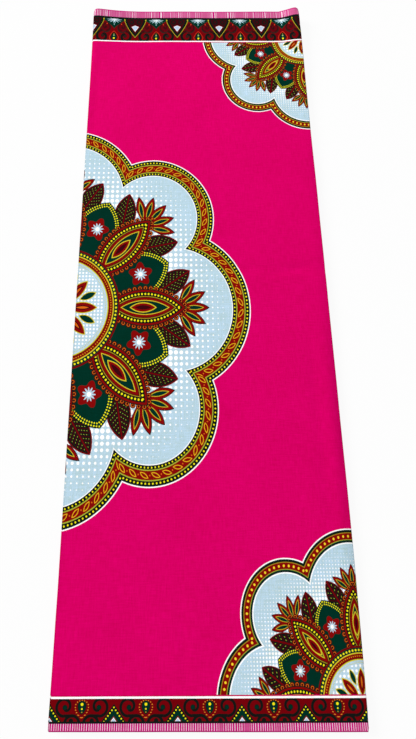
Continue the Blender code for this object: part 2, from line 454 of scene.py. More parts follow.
# %% Stops of the plies
PLY_FOLD_STEPS = 6
FOLD_INSETS = (.0006, .0002, .0010, .0004, .0013, .0003, .0009, .0005, .0012, .0002, .0007)
FIRST_STOP = 0.0099
LAST_STOP = 0.0086
ply_rows = stations(WIDE_STEP, BORDER_ROW, FAR_BORDER_ROW, 0.0125, CLOTH_WIDTH - 0.0165)
between = [0.014, 0.024] + [0.036 + 0.0145 * n for n in range(22)] + [0.360, 0.371]
ply_stops = []
ply_numbers = []
fold_numbers = []
for number in range(PLIES - 2, 0, -1):
    leftward = number % 2 == 0
    here = [("left", place, ply_height(number)) for place in between]
    if leftward:
        here.reverse()
    if number == PLIES - 2:
        here = [("left", FIRST_STOP, ply_height(number))]
    if number == 1:
        here.append(("right", LAST_STOP, ply_height(number)))
    ply_stops += here
    ply_numbers += [number] * len(here)
    fold_numbers += [0] * len(here)
    if number > 1:
        inset = FOLD_INSETS[number - 2]
        fold_low = BOTTOM + (number - 1) * FOLD_PITCH
        turn = hairpin("left" if leftward else "right", fold_low + FOLD_PITCH, fold_low, PLY_FOLD_STEPS)
        ply_stops += [(side, inward + inset, height) for side, inward, height in turn]
        half = PLY_FOLD_STEPS // 2
        ply_numbers += [number] * (half + 1) + [number - 1] * half
        fold_numbers += [number] * len(turn)
print(len(ply_stops), "stops to and fro,", len(ply_rows), "rows along")

# %% Lay the folded plies
PLY_INSETS = {
    "near": (.0022, .0009, .0016, .0031, .0012, .0006, .0026, .0014, .0035, .0010, .0020, .0013),
    "far":  (.0012, .0030, .0018, .0008, .0024, .0036, .0010, .0028, .0014, .0022, .0009, .0017),
}
EDGE_WAVE = {"height": 0.00014, "from_end": 0.060, "from_fold": (0.004, 0.030)}
FOLD_WANDER = 0.0007
DRIFT = 0.006


def ply_place(column, stop, from_near):
    """A point of a hidden ply: its own insets, folds that wander a little, a small wave by its ends."""
    x, y, z = stop_place(stop, from_near)
    number = ply_numbers[column]
    if fold_numbers[column]:
        turn = fold_numbers[column]
        wander = FOLD_WANDER * (0.5 + 0.5 * math.sin(y * (5.0 + 1.7 * (turn % 5)) + turn * 1.9))
        x += wander if stop[0] == "left" else -wander
    y = drawn_in(y, from_near, PLY_INSETS["near"][number - 1], PLY_INSETS["far"][number - 1])
    by_end = 1 - ease(min(from_near, CLOTH_WIDTH - from_near), 0.0, EDGE_WAVE["from_end"])
    inside = ease(min(x - LEFT_X, right_x(y) - x), *EDGE_WAVE["from_fold"])
    z += EDGE_WAVE["height"] * by_end * inside * math.sin(x * (41 + 5 * number) + number * 2.4)
    x, y, _ = rounded(x, y)
    return lifted(x, y, z)


def hidden_print(points, from_near):
    """Places on the print for the hidden plies, each a little out of register with the last."""
    spots = []
    for number, point in zip(ply_numbers, points):
        drift = DRIFT * math.sin(number * 2.7)
        spots.append((point.x - LEFT_X + drift, from_near))
    return spots


folded_plies = lay_sheet("folded_plies", ply_stops, ply_rows, ply_place, hidden_print)
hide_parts("folded_layers")

# %% [markdown]
# ## The bottom cloth
#
# The last ply lies flat on the table. Its cut end stops just short of the left fold, and at the right it
# turns up into the ply above, so it is laid in the same way, on a path with a single hairpin.

# %% Lay the bottom cloth
CUT_END = 0.0021
BOTTOM_STOPS = (CUT_END, 0.008, 0.040, 0.110, 0.190, 0.270, 0.340)
BOTTOM_FOLD_INSET = 0.0007
NEXT_PLY = BOTTOM + FOLD_PITCH
bottom_rows = stations(WIDE_STEP, BORDER_ROW, FAR_BORDER_ROW)
bottom_stops = [("left", place, BOTTOM) for place in BOTTOM_STOPS]
bottom_stops += [("right", 0.012, BOTTOM), ("right", 0.0045, BOTTOM)]
for side, inward, height in hairpin("right", BOTTOM, NEXT_PLY, PLY_FOLD_STEPS):
    bottom_stops.append((side, inward + BOTTOM_FOLD_INSET, height))
bottom_stops += [("right", 0.0045, NEXT_PLY), ("right", 0.0085, NEXT_PLY)]


def bottom_place(column, stop, from_near):
    """A point of the bottom cloth, flat on the table."""
    x, y, z = stop_place(stop, from_near)
    return Vector((x, drawn_in(y, from_near, PLY_INSETS["near"][0], PLY_INSETS["far"][0]), z))


bottom_cloth = lay_sheet("bottom_cloth", bottom_stops, bottom_rows, bottom_place, along_the_path(0))
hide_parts("bottom_panel")

# %% [markdown]
# ## Arithmetic that paints
#
# The print is wax-resist work: flat, crisp-edged inks. It could be painted as a picture, but node maths is
# drawn in millimetres of cloth, so it stays sharp at any distance and follows every fold through the UV
# map. Math nodes are slow to place by hand, so a small class wraps a socket and lets Python's own
# operators add them.

# %% A socket that can be added and multiplied
class Ink:
    """One output socket. Arithmetic on it puts Math nodes into the tree that is being painted."""

    tree = None

    def __init__(self, socket):
        self.socket = socket

    @classmethod
    def node(cls, kind, settings=None, sockets=None, output=0):
        """Any node: its type, its settings, then the values or links of its sockets."""
        made = cls.tree.nodes.new("ShaderNode" + kind)
        for name, value in (settings or {}).items():
            setattr(made, name, value)
        for key, value in (sockets or {}).items():
            if isinstance(value, Ink):
                cls.tree.links.new(value.socket, made.inputs[key])
            else:
                made.inputs[key].default_value = value
        return cls(made.outputs[output])

    @classmethod
    def maths(cls, operation, *values, clamp=False):
        """A Math node on values or sockets."""
        settings = {"operation": operation, "use_clamp": clamp}
        return cls.node("Math", settings, dict(enumerate(values)))

    def __add__(self, other):
        return Ink.maths("ADD", self, other)

    def __radd__(self, other):
        return Ink.maths("ADD", other, self)

    def __sub__(self, other):
        return Ink.maths("SUBTRACT", self, other)

    def __rsub__(self, other):
        return Ink.maths("SUBTRACT", other, self)

    def __mul__(self, other):
        return Ink.maths("MULTIPLY", self, other)

    def __rmul__(self, other):
        return Ink.maths("MULTIPLY", other, self)

    def __pow__(self, other):
        return Ink.maths("POWER", self, other)

    def __abs__(self):
        return Ink.maths("ABSOLUTE", self)


operators = [name for name in vars(Ink) if name.startswith("__") and callable(getattr(Ink, name))]
print("a socket has", len(operators), "special methods")

# %% Measures on sockets
def least(one, other):
    """The smaller of two values."""
    return Ink.maths("MINIMUM", one, other)


def most(one, other):
    """The larger of two values."""
    return Ink.maths("MAXIMUM", one, other)


def fold(value, reach):
    """Fold a distance to and fro, so that what is drawn near 0 repeats every two reaches."""
    return Ink.maths("PINGPONG", value, reach)


def angle(across, along):
    """The angle of a direction, in radians: 0 along the second value."""
    return Ink.maths("ARCTAN2", across, along)


def span(across, along):
    """The length of a direction."""
    place = Ink.node("CombineXYZ", sockets={0: across, 1: along})
    return Ink.node("VectorMath", {"operation": "LENGTH"}, {0: place}, output=1)


print("measures: least, most, fold, angle, span")

# %% [markdown]
# ## Shapes as distances
#
# Every motif is a distance field: a value in millimetres that is positive inside the shape and 0 on its
# edge. One field serves for many inks, because the same field less 3 is the same shape drawn 3 mm smaller.
# A soft step of a third of a millimetre turns a field into a mask, about as far as dye creeps in cotton.

# %% Inks
STUDIO_LIGHT = 1.12


def ink(red, green, blue):
    """A colour from its 0 to 255 values on a screen, less the light that the studio adds."""
    channels = [value / 255 for value in (red, green, blue)]
    linear = [((c + 0.055) / 1.055) ** 2.4 if c > 0.04045 else c / 12.92 for c in channels]
    return (*(value / STUDIO_LIGHT for value in linear), 1.0)


WHITE = (0.96, 0.96, 0.96, 1.0)
SKY = ink(188, 216, 230)
DARK_RED = ink(116, 2, 10)
MAROON = ink(60, 6, 14)
BLACK = ink(16, 24, 20)
GREEN = ink(0, 48, 36)
YELLOW = ink(248, 240, 24)
OLIVE = ink(170, 145, 32)
CREEP = 0.35


def blend_inks(share, under, over):
    """Mix two colours by a share."""
    return Ink.node("Mix", {"data_type": "RGBA"}, {0: share, 6: under, 7: over}, output=2)


def lay(paint, field, *layers):
    """Lay inks over the paint wherever the field is positive: an ink, or pairs of a depth and an ink."""
    for layer in layers:
        depth, dye = (0.0, layer) if isinstance(layer, Ink) or len(layer) == 4 else layer
        mask = Ink.maths("MULTIPLY_ADD", field, 1 / CREEP, 0.5 - depth / CREEP, clamp=True)
        paint = blend_inks(mask, paint, dye)
    return paint


print("darkest ink", [round(value, 3) for value in BLACK])

# %% Shapes
def turned(along, across, degrees):
    """The same place, in axes turned about the origin."""
    turn = math.radians(degrees)
    ahead = along * math.cos(turn) + across * math.sin(turn)
    return ahead, across * math.cos(turn) - along * math.sin(turn)


def disc(x, y, radius):
    """A round spot about x = y = 0."""
    return radius - span(x, y)


def petal(along, across, start, end, half_width):
    """A pointed petal between two places on its axis: its field, and the distance along its edge."""
    half = (end - start) / 2
    radius = (half * half + half_width * half_width) / (2 * half_width)
    ahead = along - (start + end) / 2
    outward = abs(across) + (radius - half_width)
    return radius - span(outward, ahead), angle(ahead, outward) * radius


def teardrop(along, across, centre, radius, tip):
    """A round end that draws out to a point."""
    ahead = along - centre
    length = tip - centre
    bow = (length * length + radius * radius) / (2 * radius)
    point = bow - span(abs(across) + (bow - radius), most(ahead, 0.0))
    return least(point, disc(across, least(ahead, 0.0), radius))


def dots(depth, run, pitch, radius):
    """A row of dots along a line: how far off it a place lies, and how far along it."""
    return disc(depth, fold(run, pitch / 2), radius)


def flower(x, y, radius, petals, cut):
    """A round flower with its edge cut into petals."""
    edge = Ink.maths("COSINE", angle(y, x) * petals)
    return edge * (radius * cut) + radius * (1 - cut) - span(x, y)


print("shapes: disc, petal, teardrop, dots, flower")

# %% [markdown]
# ## The border
#
# Both selvedges carry a band of drops and scrolls between arches. It is a repeat of about 78 mm that
# mirrors about each drop, so half of one repeat is drawn and the cloth's length is folded onto it. The far
# border is the full band, and the near one is the same band cut shorter by the edge of the cloth.

# %% Scrolls
REPEAT = 77.85
CHAR = ink(20, 22, 20)
STROKE = 1.7


def scroll(dx, dh, size, thick):
    """A spiral stroke round its own centre, which starts below it, and the blob that it ends in."""
    out = span(dx, dh)
    turns = Ink.maths("WRAP", angle(dx, dh), 2 * math.pi, 0.0) * (1 / (2 * math.pi))
    stroke = thick - abs(out + turns ** 3.8 * (7.3 * size) - 9.3 * size)
    return stroke, disc(dx + 0.9, dh - 0.2, 3.1 * size)


def ring(paint, x, h):
    """The round stroke beside each drop of the cut band, joined to the scroll, with a blob inside."""
    paint = lay(paint, STROKE - abs(span(x - 11.5, h - 26.8) - 8.9), CHAR)
    paint = lay(paint, disc(x - 12.6, h - 23.3, 2.7), CHAR)
    return lay(paint, least(STROKE - abs(h - 18.1), 5.5 - abs(x - 16.0)), CHAR)


print("a scroll every", REPEAT / 2, "mm")

# %% Drops
AMBER = ink(228, 140, 40)
SCARLET = ink(222, 58, 28)
SAGE = ink(150, 182, 122)
DROPS = {
    "full": {
        "body": {"centre": 6.0, "radius": 5.8, "tip": 15.6},
        "core": 1.8,
        "spots": ((4.4, 1.6, YELLOW), (9.7, 1.35, SAGE), (12.6, 0.8, OLIVE)),
    },
    "cut": {
        "body": {"centre": 7.3, "radius": 5.4, "tip": 16.8},
        "core": 0.9,
        "spots": ((5.9, 1.65, YELLOW), (10.8, 0.95, YELLOW), (14.3, 0.75, OLIVE)),
    },
}
RIM_TURN = {"height": 9.0, "radius": 8.2}


def drop(paint, x, h, kind):
    """The drop with its rim: a line on the full band, a ring of dots on the cut one."""
    if kind == "full":
        narrowed = x * (most(h - 6.4, 0.0) * 0.05 + 1.0)
        rim = teardrop(h, narrowed, centre=6.4, radius=8.3, tip=17.2)
        paint = lay(paint, 0.45 - abs(rim), SCARLET)
    else:
        rim = teardrop(h - most(8.0 - h, 0.0) * 0.27, x, centre=8.0, radius=8.0, tip=20.0)
        over = h - RIM_TURN["height"]
        around = angle(x, least(over, 0.0)) * -RIM_TURN["radius"] + most(over, 0.0) * 1.2
        row = dots(rim, around + math.pi * RIM_TURN["radius"], pitch=3.26, radius=0.70)
        paint = lay(paint, row, AMBER)
    paint = lay(paint, teardrop(h, x, **DROPS[kind]["body"]), BLACK, (DROPS[kind]["core"], GREEN))
    for place, radius, dye in DROPS[kind]["spots"]:
        paint = lay(paint, disc(x, h - place, radius), dye)
    return paint


print("drops", [shape["body"]["tip"] for shape in DROPS.values()], "mm high")

# %% Arches and diamonds
LIME = ink(196, 186, 40)
ICE = ink(184, 204, 230)
MIST = ink(156, 200, 208)
ARCH = {"top": 40.0, "height": 34.6, "half_width": 21.0, "power": 1.45}
SHIELDS = {"full": {"tip": 17.4, "slope": 0.75}, "cut": {"tip": 19.9, "slope": 0.83}}


def arch(paint, off, h, kind):
    """The pointed arch between two drops, outlined with dots or a line, with a shield inside."""
    if kind == "full":
        curve = -ARCH["half_width"] / ARCH["height"] ** ARCH["power"]
        bulge = most(ARCH["top"] - h, 0.0) ** ARCH["power"] * curve + ARCH["half_width"]
        inside = (bulge - off) * 0.8
        paint = lay(paint, inside, BLACK, (0.3, LIME), (1.05, BLACK), (4.8, MAROON))
        curl = 1.0 - abs(span(off - 6.8, h - 35.2) - 3.4)
        paint = lay(paint, least(curl, inside - 5.5), BLACK)
        paint = lay(paint, disc(off - 19.3, h - 38.7, 1.1), LIME)
    else:
        inside = least(((h - 5.4) * 0.78 - off) * 0.79, h - 5.4)
        paint = lay(paint, inside, BLACK, (3.7, GREEN))
        row = dots(inside - 2.4, (h - 9.2) * 0.8 + off * 0.6, pitch=3.80, radius=0.90)
        paint = lay(paint, row, YELLOW)
    tip, slope = SHIELDS[kind]["tip"], SHIELDS[kind]["slope"]
    shield = least(((h - tip) * slope - off) * 0.8, 28.6 - off * 0.4 - h)
    return lay(paint, shield + 1.2, DARK_RED, (1.2, WHITE), (1.9, ICE))


def diamond(paint, x, h):
    """The green diamond that stands on each drop of the full band, with a white burst in it."""
    paint = lay(paint, (h - 21.2 - x ** 0.75 * 1.75) * 0.65, GREEN)
    paint = lay(paint, disc(x * 1.2, (h - 30.0) * 0.7, 0.95), MIST)
    burst = flower(x * 0.46, h - 38.6, radius=6.3, petals=13.0, cut=0.40)
    paint = lay(paint, burst, MIST, (1.2, SKY), (3.2, WHITE))
    return lay(paint, disc(x - 13.3, h - 30.4, 1.15), SCARLET)


print("the full arch is", 2 * ARCH["half_width"], "mm wide")

# %% The whole band
FIRST_DROP = 40.4
UMBER = ink(50, 30, 26)
SOOT = ink(60, 12, 16)
DUSK = ink(98, 4, 14)
SCROLLS = {
    "full": {"height": 8.4, "thick": 2.35, "blob": UMBER},
    "cut": {"height": 9.1, "thick": 1.65, "blob": GREEN},
}


def border(paint, x, h, kind):
    """The band, full or cut: x along the cloth, h outward from the white line, both in millimetres."""
    x = fold(x - FIRST_DROP, REPEAT / 2)
    paint = lay(paint, h, DARK_RED)
    stroke, blob = scroll(x - 21.5, h - SCROLLS[kind]["height"], 1.0, SCROLLS[kind]["thick"])
    if kind == "full":
        paint = lay(paint, disc(x - 14.9, h - 23.2, 9.2), UMBER)
        paint = lay(paint, disc(x - 14.9, h - 24.5, 8.2), DUSK)
        upper, heart = scroll(14.4 - x, 24.6 - h, 0.72, 1.2)
        paint = lay(paint, most(most(upper, heart), stroke), SOOT)
        stroke = least(stroke, 15.6 - h)
    else:
        paint = ring(paint, x, h)
    paint = lay(lay(paint, stroke, CHAR), blob, CHAR, (0.9, SCROLLS[kind]["blob"]))
    paint = drop(paint, x, h, kind)
    if kind == "full":
        paint = diamond(paint, x, h)
    return arch(paint, REPEAT / 2 - x, h, kind)


print("the border repeats every", REPEAT, "mm")

# %% [markdown]
# ## Selvedges
#
# The loom leaves a strip outside the border where bare white warp shows between the pink, as a comb of
# fine lines across the edge. The lines are uneven, so slow noise turns crisp stretches of the comb into
# washed ones, and a last millimetre of pink closes the edge.

# %% Selvedge
DEEP_PINK = ink(197, 2, 120)
PALE_PINK = ink(254, 236, 248)
NEAR_COMB = {"pitch": 2.80, "uneven": 1.2, "sharpness": 6.0, "crisp": 1.30, "wash": 0.08, "rim": 0.8}
FAR_COMB = {"pitch": 3.60, "uneven": 4.0, "sharpness": 2.8, "crisp": 0.28, "wash": 0.12, "rim": 1.5}
PATCH_SCALE = 0.06
STRAY_SCALE = 0.11


def slow_noise(run, detail):
    """Noise along the selvedge."""
    return Ink.node("TexNoise", {"noise_dimensions": "1D"}, {"W": run, "Scale": 1.0, "Detail": detail})


def selvedge(paint, field, x, edge, comb):
    """The comb of bare threads, where the field is positive; edge is the distance from the cloth's rim."""
    patches = slow_noise(x * PATCH_SCALE, 1.0)
    crisp = Ink.maths("ADD", (patches - 0.5) * 4.0, comb["crisp"], clamp=True)
    strays = slow_noise(x * STRAY_SCALE, 0.0)
    wave = Ink.maths("COSINE", (strays * comb["uneven"] + x) * (2 * math.pi / comb["pitch"])) * 0.5 + 0.5
    shown = wave ** comb["sharpness"] * crisp + (1.0 - crisp) * comb["wash"]
    bare = Ink.maths("SUBTRACT", edge, comb["rim"], clamp=True)
    return lay(paint, field, blend_inks(shown * bare, DEEP_PINK, PALE_PINK))


print("combs of bare warp every", NEAR_COMB["pitch"], "and", FAR_COMB["pitch"], "mm")

# %% [markdown]
# ## The medallion
#
# Wax prints for wrappers often have one large medallion on each panel. This one is built on eight axes: a
# lobed frame of dotted bands, buds and leaves that point outward, and a rosette at the centre. Folding the
# coordinates about the axes means that each motif is drawn once and appears four, eight or sixteen times.

# %% Bands of the frames
RED = ink(134, 8, 8)
MOSS = ink(166, 176, 52)
SUN = ink(252, 216, 44)
HONEY = ink(236, 178, 26)
ORANGE = ink(220, 104, 20)
WIDE_FRAME = {
    "bands": (
        (0.0, WHITE), (1.5, GREEN), (2.6, BLACK), (7.9, MOSS),
        (9.4, RED), (20.4, MOSS), (21.9, BLACK), (27.0, WHITE),
    ),
    "dots": ((5.0, 5.5, 1.20, YELLOW), (24.3, 6.6, 1.20, YELLOW)),
    "links": 14.9,
    "inner": 28.2,
}
NARROW_FRAME = {
    "bands": (
        (0.0, WHITE), (1.4, GREEN), (2.4, BLACK), (4.3, OLIVE), (5.1, RED),
        (12.1, MOSS), (12.8, GREEN), (14.2, BLACK), (15.5, WHITE),
    ),
    "dots": ((8.6, 7.6, 1.50, SUN),),
    "links": None,
    "inner": 17.0,
}
print("frames", WIDE_FRAME["inner"], "and", NARROW_FRAME["inner"], "mm wide")

# %% Medallion frame
SIDE_LOBE = {"centre": 172.0, "radius": 118.0}
CORNER_LOBE = {"centre": 196.0, "radius": 99.0}
CORE = 225.0
LINK = {"pitch": 19.0, "reach": 8.0, "half_width": 2.9, "stroke": 1.05, "slant": 24, "bead": 1.0}


def lobe(along, across, size, centre, radius):
    """One lobe of the frame: how far inside it a place lies, and how far round its edge."""
    ahead = along - centre * size
    return disc(ahead, across, radius * size), angle(across, ahead) * (radius * size)


def medallion_frame(paint, a, b, c, d, size, frame):
    """The lobed outline and its bands. a, b run along and across the side axis, c, d the diagonal one."""
    side, side_run = lobe(a, b, size, **SIDE_LOBE)
    corner, corner_run = lobe(c, d, size, **CORNER_LOBE)
    run = side_run + (corner_run - side_run) * Ink.maths("GREATER_THAN", corner, side)
    inside = most(most(side, corner), CORE * size - span(a, b))
    paint = lay(paint, inside, *frame["bands"])
    for depth, pitch, radius, dye in frame["dots"]:
        paint = lay(paint, dots(inside - depth, run, pitch, radius), dye)
    if frame["links"]:
        depth = inside - frame["links"]
        half = LINK["pitch"] / 2
        ahead, aside = turned(Ink.maths("WRAP", run + half, half, -half), depth, LINK["slant"])
        loop, _ = petal(ahead, aside, -LINK["reach"], LINK["reach"], LINK["half_width"])
        paint = lay(paint, loop, HONEY, (LINK["stroke"], RED))
        paint = lay(paint, dots(depth, run, LINK["pitch"], LINK["bead"]), ORANGE)
    return lay(paint, inside - frame["inner"], SKY), inside - frame["inner"]


print("medallion reaches", SIDE_LOBE["centre"] + SIDE_LOBE["radius"], "mm from its centre")

# %% Petals at their size
MOTIF_SCALE = 0.94
PETALS = {
    "columns": ("start", "end", "half_width"),
    "leaf": (0.0, 78.0, 19.0),
    "frond": (4.0, 54.0, 8.6),
    "green": (70.0, 190.0, 40.0),
    "bud": (70.0, 204.0, 29.0),
    "bud_heart": (112.0, 156.0, 8.0),
    "sprout": (30.0, 58.0, 5.5),
    "bloom": (10.0, 56.0, 8.5),
}


def sized_petal(kind, along, across, size):
    """One of the medallion's petals: its field, and the distance along its edge."""
    return petal(along, across, **{name: n * size for name, n in zip(PETALS["columns"], PETALS[kind])})


def at_scale(scale, *layers):
    """Pairs of a depth and an ink, with the depths drawn at a scale."""
    return [(depth * scale, dye) for depth, dye in layers]


print(len(PETALS) - 1, "kinds of petal, drawn at", MOTIF_SCALE)

# %% Halftone, leaves and palmettes
GOLD = ink(216, 200, 44)
HALFTONE = {"pitch": 8.0, "small_pitch": 4.0, "rim": 264.0, "fade": 84.0, "growth": 0.41, "most": 0.42}
VEINS = {"reach": 3.2, "slope": 0.8}
FAN = {"base": 188.0, "step": math.radians(14), "spread": 1.25}


def halftone(paint, a, b, out, size, ground):
    """White dots on a square grid, which shrink outward."""
    pitch = HALFTONE["pitch"] if size == 1 else HALFTONE["small_pitch"]
    growth = -HALFTONE["growth"] * pitch / (HALFTONE["fade"] * size)
    radius = least((out - HALFTONE["rim"] * size) * growth, HALFTONE["most"] * pitch)
    dot = radius - span(fold(a, pitch / 2), fold(b, pitch / 2))
    return lay(paint, least(dot, ground - 2.0), WHITE)


def leaves(paint, e, f, size):
    """A veined leaf on each side of each of the eight axes."""
    along, across = turned(e - 146.0 * size, f - 16.0 * size, 34)
    leaf, _ = sized_petal("leaf", along, across, size)
    paint = lay(paint, leaf, DARK_RED, (1.9 * size, BLACK))
    vein = fold(along - abs(across) * VEINS["slope"], VEINS["reach"])
    paint = lay(paint, least(1.0 - vein, leaf - 3.2 * size), MAROON)
    sprigs = disc(vein - VEINS["reach"], fold(abs(across), 1.5), 0.62)
    paint = lay(paint, least(sprigs, leaf - 4.4 * size), MOSS)
    return lay(paint, least(0.9 - abs(across), leaf - 1.0), DARK_RED)


def palmette(paint, e, f, size):
    """A fan of fronds on each of the eight axes."""
    base = e - FAN["base"] * size
    turn = angle(f, base)
    out = span(base, f)
    frond, _ = sized_petal("frond", out, fold(turn, FAN["step"]) * out, size)
    frond = least(frond, (FAN["spread"] - turn) * 40.0)
    return lay(paint, frond, BLACK, *at_scale(size, (1.2, RED), (4.9, GOLD), (5.7, GREEN)))


print("palmettes stand", round(FAN["base"] * MOTIF_SCALE, 1), "mm out")

# %% Petals and buds
def green_petals(paint, g, h, size):
    """Green petals between the buds, with dotted edges and a flower on each."""
    field, run = sized_petal("green", g, h, size)
    paint = lay(paint, field, BLACK, (1.4 * size, GREEN))
    scale = size ** 0.9
    for depth in (2.9, 6.8):
        row = dots(field - depth * scale, run, pitch=4.4 * scale, radius=1.2 * scale)
        paint = lay(paint, row, YELLOW)
    x = g - 139.0 * size
    paint = lay(paint, flower(x, h, radius=20.0 * size, petals=5.0, cut=0.17), RED)
    paint = lay(paint, flower(x, h, radius=10.5 * size, petals=11.0, cut=0.26), SKY)
    return lay(paint, disc(x, h, 3.4 * size), WHITE)


def buds(paint, e, f, size, trim):
    """The pointed buds on the eight axes: beads round a dotted black band, and a red heart."""
    field, run = sized_petal("bud", e, f, size)
    bead = dots(field + 1.6 * trim, run, pitch=8.2 * trim, radius=3.9 * trim)
    paint = lay(paint, bead, MAROON, *at_scale(trim, (1.4, ORANGE), (2.3, MAROON)))
    outer = at_scale(trim, (1.3, RED), (4.0, BLACK), (10.6, OLIVE), (11.7, MAROON), (12.8, RED))
    paint = lay(paint, field, BLACK, *outer, *at_scale(trim, (16.4, GOLD), (17.5, GREEN)))
    paint = lay(paint, dots(field - 7.3 * trim, run, pitch=5.6 * trim, radius=1.55 * trim), YELLOW)
    heart, _ = sized_petal("bud_heart", e, f, size)
    return lay(paint, heart, GOLD, *at_scale(trim, (1.4, RED), (4.4, MAROON)))


print("buds end", round(PETALS["bud"][1] * MOTIF_SCALE, 1), "mm out")

# %% Rosette and the whole medallion
ROSETTE = 90.0
BEADS = ((5.6, 5.4, 1.5, YELLOW), (13.4, 3.6, 0.7, HONEY), (22.0, 2.6, 0.6, GOLD))
FIXED_LINE = 0.35


def rosette(paint, a, b, e, f, g, h, out, size, trim):
    """The round centre: beaded rings, and small petals on a pale ground."""
    inside = ROSETTE * size - out
    paint = lay(paint, inside, DARK_RED, *at_scale(trim, (2.4, GREEN), (8.8, GOLD), (10.4, RED)))
    paint = lay(paint, inside - 16.4 * trim, MAROON, *at_scale(trim, (0.8, GOLD), (2.4, SKY)))
    paint = lay(paint, least(1.5 - span(fold(a, 2.6), fold(b, 2.6)), inside - 24.0 * trim), WHITE)
    turn = angle(b, a)
    for depth, pitch, radius, dye in BEADS:
        run = turn * ((ROSETTE - depth) * size)
        paint = lay(paint, dots(inside - depth * trim, run, pitch * trim, radius * trim), dye)
    sprout, _ = sized_petal("sprout", g, h, size)
    paint = lay(paint, sprout, GOLD, (1.2 * trim, GREEN))
    bloom, _ = sized_petal("bloom", e, f, size)
    paint = lay(paint, bloom, GOLD, (1.2 * trim, RED), *at_scale(size, (5.4, MAROON), (6.8, ORANGE)))
    return lay(paint, 10.0 * size - out, GOLD, (1.8 * trim, GREEN))


def medallion(paint, x, y, size, frame):
    """The whole medallion about x = y = 0, in millimetres; size is 1 for the large one."""
    trim = FIXED_LINE + (1 - FIXED_LINE) * size
    x, y = abs(x), abs(y)
    a, b = most(x, y), least(x, y)
    c, d = turned(a, b, 45)
    d = abs(d)
    paint, ground = medallion_frame(paint, a, b, c, d, size, frame)
    out = span(a, b)
    paint = halftone(paint, a, b, out, size, ground)
    e, f = most(a, c), least(b, d)
    inner = size * MOTIF_SCALE
    paint = leaves(paint, e, f, inner)
    paint = palmette(paint, e, f, inner)
    g, h = turned(a, b, 22.5)
    h = abs(h)
    paint = green_petals(paint, g, h, inner)
    paint = buds(paint, e, f, inner, trim)
    return rosette(paint, a, b, e, f, g, h, out, size, trim)


print("eight axes, drawn once each, round a rosette", 2 * ROSETTE, "mm wide")

# %% [markdown]
# ## Cotton
#
# Under the print is plain-woven cotton. Its threads show as a faint streak along and across the cloth, and
# its surface scatters light with almost no gloss. The weave is too fine to model, so it is bump: a grid of
# threads, and the slubs where one is thicker than its neighbours. The colour is darkened over the last few
# millimetres at the sharp left fold, as painted shade where the cloth turns away from the light.

# %% Cotton
THREAD = 0.55
STREAK = 0.24
CLOUD = 0.10
ALONG_THREAD = 0.06
ACROSS_THREAD = 0.60
CLOUD_SCALE = 0.014
# Painted shade at the sharp left fold: the colour's share at the fold, and how fast it comes back per
# millimetre.
PAINTED_FOLD_SHADE = {"at_fold": 0.55, "per_mm": 0.120}
WEAVE_DEPTH = 0.25
DRY = 0.70


def cloth_places():
    """The print's coordinates in millimetres: s along the cloth from the left fold, v from the near end."""
    place = Ink.node("UVMap", {"uv_map": "print"})
    split = Ink.node("SeparateXYZ", sockets={0: place})
    return split * 1000.0, Ink(split.socket.node.outputs[1]) * 1000.0


def streaks(s, v, along_s, along_v, detail):
    """Noise stretched along the threads."""
    place = Ink.node("CombineXYZ", sockets={0: s * along_s, 1: v * along_v})
    return Ink.node("TexNoise", sockets={"Vector": place, "Scale": 1.0, "Detail": detail})


def cotton(paint, s, v):
    """Finish the painted cloth: thread streaks in the colour, a dry surface, and the weave as bump."""
    warp = streaks(s, v, ACROSS_THREAD, ALONG_THREAD, 1.0)
    weft = streaks(s, v, ALONG_THREAD, ACROSS_THREAD, 1.0)
    cloud = streaks(s, v, CLOUD_SCALE, CLOUD_SCALE, 2.0)
    shade = (warp + weft) * STREAK + cloud * CLOUD + (1.0 - STREAK - CLOUD / 2)
    # Painted shade: the colour darkens over the last few millimetres towards the sharp left fold, where the
    # cloth turns from the light.
    rim = Ink.maths("MULTIPLY_ADD", abs(s), PAINTED_FOLD_SHADE["per_mm"], PAINTED_FOLD_SHADE["at_fold"], clamp=True)
    deep = shade * rim
    tint = Ink.node("CombineXYZ", sockets={0: deep, 1: deep, 2: (shade * 2.0 - 1.0) * rim})
    tinted = Ink.node("VectorMath", {"operation": "MULTIPLY"}, {0: paint, 1: tint})
    turns = 2 * math.pi / THREAD
    weave = Ink.maths("SINE", s * turns) * Ink.maths("SINE", v * turns)
    height = weave * WEAVE_DEPTH + warp + weft
    normal = Ink.node("Bump", sockets={"Strength": 0.35, "Distance": 0.00012, "Height": height})
    roughness = (warp + weft) * 0.10 + DRY
    shader = Ink.tree.nodes["Principled BSDF"]
    for socket, value in (("Base Color", tinted), ("Roughness", roughness), ("Normal", normal)):
        Ink.tree.links.new(value.socket, shader.inputs[socket])
    shader.inputs["Specular IOR Level"].default_value = 0.01


print("threads every", THREAD, "mm")

# %% Places on the print
PINK = ink(219, 0, 100)
EDGE_PINK = ink(200, 0, 84)
NEAR_LINE = 36.1
NEAR_SKEW = 0.003
FAR_LINE = 1094.35
LINE_HALF = 1.18
EDGE_LINE = 1.5
NEAR_EDGE = {"dark": 24.0, "comb": 26.3}
FAR_EDGE = {"dark": 40.2, "comb": 43.6}
FAR_STRETCH = 1.3
ROUND_STRETCH = 1.14
MEDALLIONS = {
    "large": {"s": -22.0, "v": 559.0, "size": 1.0, "frame": WIDE_FRAME},
    "near": {"s": 384.0, "v": 30.0, "size": 0.62, "frame": NARROW_FRAME},
    "far": {"s": 384.0, "v": 1100.0, "size": 0.62, "frame": NARROW_FRAME},
}


def white_lines(paint, s, v):
    """The white line along each border, with a darker edge where the pink dye stops."""
    for off_line in (v - s * NEAR_SKEW - NEAR_LINE, v - FAR_LINE):
        paint = lay(paint, LINE_HALF + EDGE_LINE - abs(off_line), EDGE_PINK, (EDGE_LINE, WHITE))
    return paint


